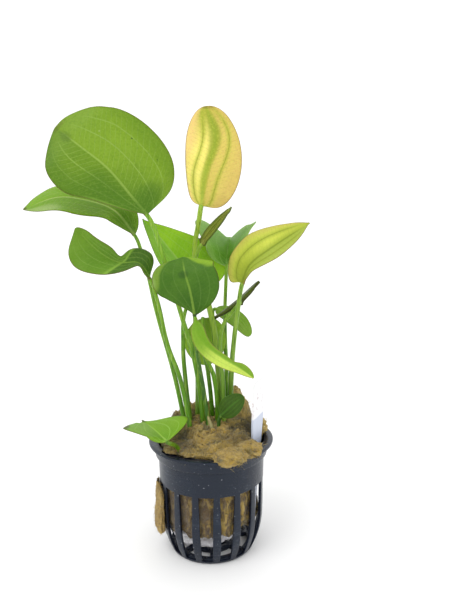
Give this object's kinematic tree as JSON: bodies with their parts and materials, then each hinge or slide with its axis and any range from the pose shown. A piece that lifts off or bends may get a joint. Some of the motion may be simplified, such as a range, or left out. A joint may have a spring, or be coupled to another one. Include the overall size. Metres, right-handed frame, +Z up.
{
  "type": "potted aquarium plant",
  "caption": "Leafy aquarium sword plant with long stems, rooted in mineral wool in a round slotted net pot with a plain tag.",
  "frame": {"origin": "centre of the pot's flat underside", "axes": "+Z up along the pot's axis, -Y towards the viewer of the picture, +X to the viewer's right"},
  "size_m": [0.1169, 0.0642, 0.1928],
  "materials": {
    "pot": "injection moulded, satin, lightly scratched",
    "wool": "loose golden mineral fibre",
    "wool_flap": "loose golden mineral fibre",
    "fleece": "pale matted fibre",
    "plant_tag": "smooth white sheet",
    "old_sheath": "dry and papery",
    "round_leaf_blade": "waxy living leaf",
    "round_leaf_stem": "smooth living stem",
    "arching_leaf_blade": "waxy living leaf",
    "arching_leaf_stem": "smooth living stem",
    "curled_leaf_blade": "waxy living leaf",
    "curled_leaf_stem": "smooth living stem",
    "yellow_leaf_blade": "waxy living leaf",
    "yellow_leaf_stem": "smooth living stem",
    "golden_leaf_blade": "waxy living leaf",
    "golden_leaf_stem": "smooth living stem",
    "middle_leaf_blade": "waxy living leaf",
    "middle_leaf_stem": "smooth living stem",
    "trough_leaf_blade": "waxy living leaf",
    "trough_leaf_stem": "smooth living stem",
    "spoon_leaf_blade": "waxy living leaf",
    "spoon_leaf_stem": "smooth living stem",
    "hanging_leaf_blade": "waxy living leaf",
    "hanging_leaf_stem": "smooth living stem",
    "shaded_leaf_blade": "waxy living leaf",
    "shaded_leaf_stem": "smooth living stem",
    "lower_young_leaf_blade": "waxy living leaf",
    "lower_young_leaf_stem": "smooth living stem",
    "upper_young_leaf_blade": "waxy living leaf",
    "upper_young_leaf_stem": "smooth living stem",
    "side_leaf_blade": "waxy living leaf",
    "side_leaf_stem": "smooth living stem",
    "crown_leaf_blade": "waxy living leaf",
    "crown_leaf_stem": "smooth living stem",
    "rim_leaf_blade": "waxy living leaf",
    "rim_leaf_stem": "smooth living stem"
  },
  "bodies": {
    "root": {"pot": "pot", "wool": "wool", "wool_flap": "wool_flap", "fleece": "fleece", "plant_tag": "plant_tag", "old_sheath": "old_sheath", "round_leaf_blade": "round_leaf_blade", "round_leaf_stem": "round_leaf_stem", "arching_leaf_blade": "arching_leaf_blade", "arching_leaf_stem": "arching_leaf_stem", "curled_leaf_blade": "curled_leaf_blade", "curled_leaf_stem": "curled_leaf_stem", "yellow_leaf_blade": "yellow_leaf_blade", "yellow_leaf_stem": "yellow_leaf_stem", "golden_leaf_blade": "golden_leaf_blade", "golden_leaf_stem": "golden_leaf_stem", "middle_leaf_blade": "middle_leaf_blade", "middle_leaf_stem": "middle_leaf_stem", "trough_leaf_blade": "trough_leaf_blade", "trough_leaf_stem": "trough_leaf_stem", "spoon_leaf_blade": "spoon_leaf_blade", "spoon_leaf_stem": "spoon_leaf_stem", "hanging_leaf_blade": "hanging_leaf_blade", "hanging_leaf_stem": "hanging_leaf_stem", "shaded_leaf_blade": "shaded_leaf_blade", "shaded_leaf_stem": "shaded_leaf_stem", "lower_young_leaf_blade": "lower_young_leaf_blade", "lower_young_leaf_stem": "lower_young_leaf_stem", "upper_young_leaf_blade": "upper_young_leaf_blade", "upper_young_leaf_stem": "upper_young_leaf_stem", "side_leaf_blade": "side_leaf_blade", "side_leaf_stem": "side_leaf_stem", "crown_leaf_blade": "crown_leaf_blade", "crown_leaf_stem": "crown_leaf_stem", "rim_leaf_blade": "rim_leaf_blade", "rim_leaf_stem": "rim_leaf_stem"}
  },
  "joints": []
}
